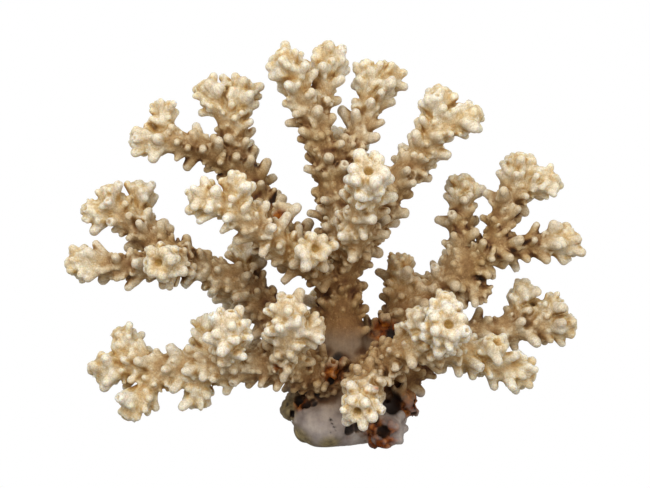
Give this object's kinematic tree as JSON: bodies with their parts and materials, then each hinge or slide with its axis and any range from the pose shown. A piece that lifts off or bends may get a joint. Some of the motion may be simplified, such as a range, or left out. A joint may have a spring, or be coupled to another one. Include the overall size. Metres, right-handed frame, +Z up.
{
  "type": "branching coral",
  "caption": "Dried branching coral: knobbly forked limbs fan out and back from one short stem on a lumpy holdfast that is cut off flat.",
  "frame": {"origin": "middle of the flat cut under the holdfast, on the surface that it rests on", "axes": "+X to the viewer's right along the widest spread of the limbs, +Y away from the viewer, +Z up from the cut"},
  "size_m": [0.1795, 0.0972, 0.1408],
  "materials": {
    "limb_skeleton": "matt, granular, cream at the tips and tan to grey-brown towards the stem",
    "holdfast_skeleton": "worn smooth and mauve-grey, with rust-brown crust and dark pits"
  },
  "bodies": {
    "root": {"holdfast": "holdfast_skeleton", "trunk": "limb_skeleton", "crown_left_branch": "limb_skeleton", "crown_right_branch": "limb_skeleton", "front_crown_branch": "limb_skeleton", "upper_right_branch": "limb_skeleton", "upper_left_branch": "limb_skeleton", "left_side_branch": "limb_skeleton", "inner_left_branch": "limb_skeleton", "left_stem": "limb_skeleton", "left_upper_branch": "limb_skeleton", "left_lower_branch": "limb_skeleton", "low_left_branch": "limb_skeleton", "low_left_front_twig": "limb_skeleton", "low_left_inner_twig": "limb_skeleton", "front_low_branch": "limb_skeleton", "low_right_branch": "limb_skeleton", "low_right_front_twig": "limb_skeleton", "low_right_rear_branch": "limb_skeleton", "right_stem": "limb_skeleton", "right_inner_branch": "limb_skeleton", "right_outer_branch": "limb_skeleton", "right_upper_branch": "limb_skeleton", "back_middle_branch": "limb_skeleton", "back_low_branch": "limb_skeleton", "back_low_left_branch": "limb_skeleton", "back_low_right_branch": "limb_skeleton", "back_right_branch": "limb_skeleton", "back_left_branch": "limb_skeleton", "back_crown_branch": "limb_skeleton", "back_upper_left_branch": "limb_skeleton", "back_upper_right_branch": "limb_skeleton"}
  },
  "joints": []
}
